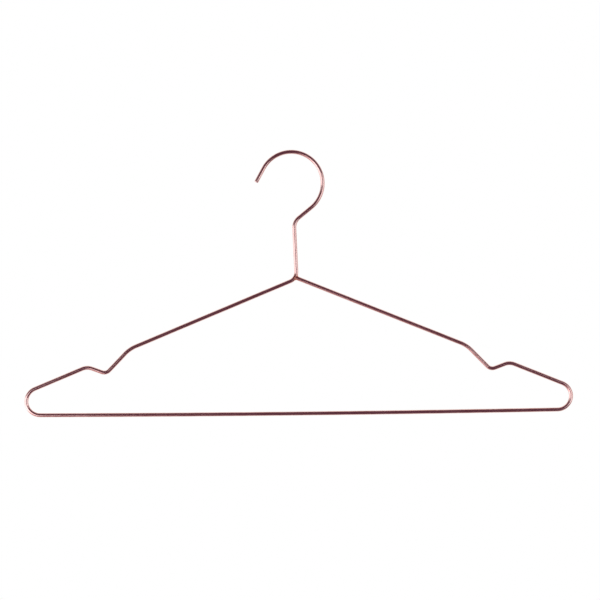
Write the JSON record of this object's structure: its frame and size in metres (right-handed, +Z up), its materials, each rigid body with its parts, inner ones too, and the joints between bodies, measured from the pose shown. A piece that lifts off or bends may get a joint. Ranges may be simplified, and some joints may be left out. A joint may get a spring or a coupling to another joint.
{
  "type": "trouser hanger",
  "caption": "Slim clothes and trouser hanger bent from round plated wire, with an open hook, offset neck, sloping shoulders with strap notches, round end loops and a straight trouser bar.",
  "frame": {"origin": "rail seat: where the top of the rail touches the underside of the hook, in the middle of the wire", "axes": "+X across the shoulders, towards the side away from the hook's tip; +Z up the hanger; the wire lies in the XZ plane, and -Y is the side the picture shows"},
  "size_m": [0.44, 0.0042, 0.2122],
  "materials": {
    "plated_wire": "rose gold plating, bright, on drawn steel wire",
    "scorched_weld": "plated weld bead with a trace of heat tint"
  },
  "bodies": {
    "root": {"hook_tip": "plated_wire", "hook": "plated_wire", "neck": "plated_wire", "left_shoulder": "plated_wire", "left_notch_ramp": "plated_wire", "left_notch_lip": "plated_wire", "left_arm": "plated_wire", "left_end_loop": "plated_wire", "trouser_bar": "plated_wire", "right_end_loop": "plated_wire", "right_arm": "plated_wire", "right_notch_lip": "plated_wire", "right_notch_ramp": "plated_wire", "right_shoulder": "plated_wire", "neck_weld": "scorched_weld"}
  },
  "joints": []
}
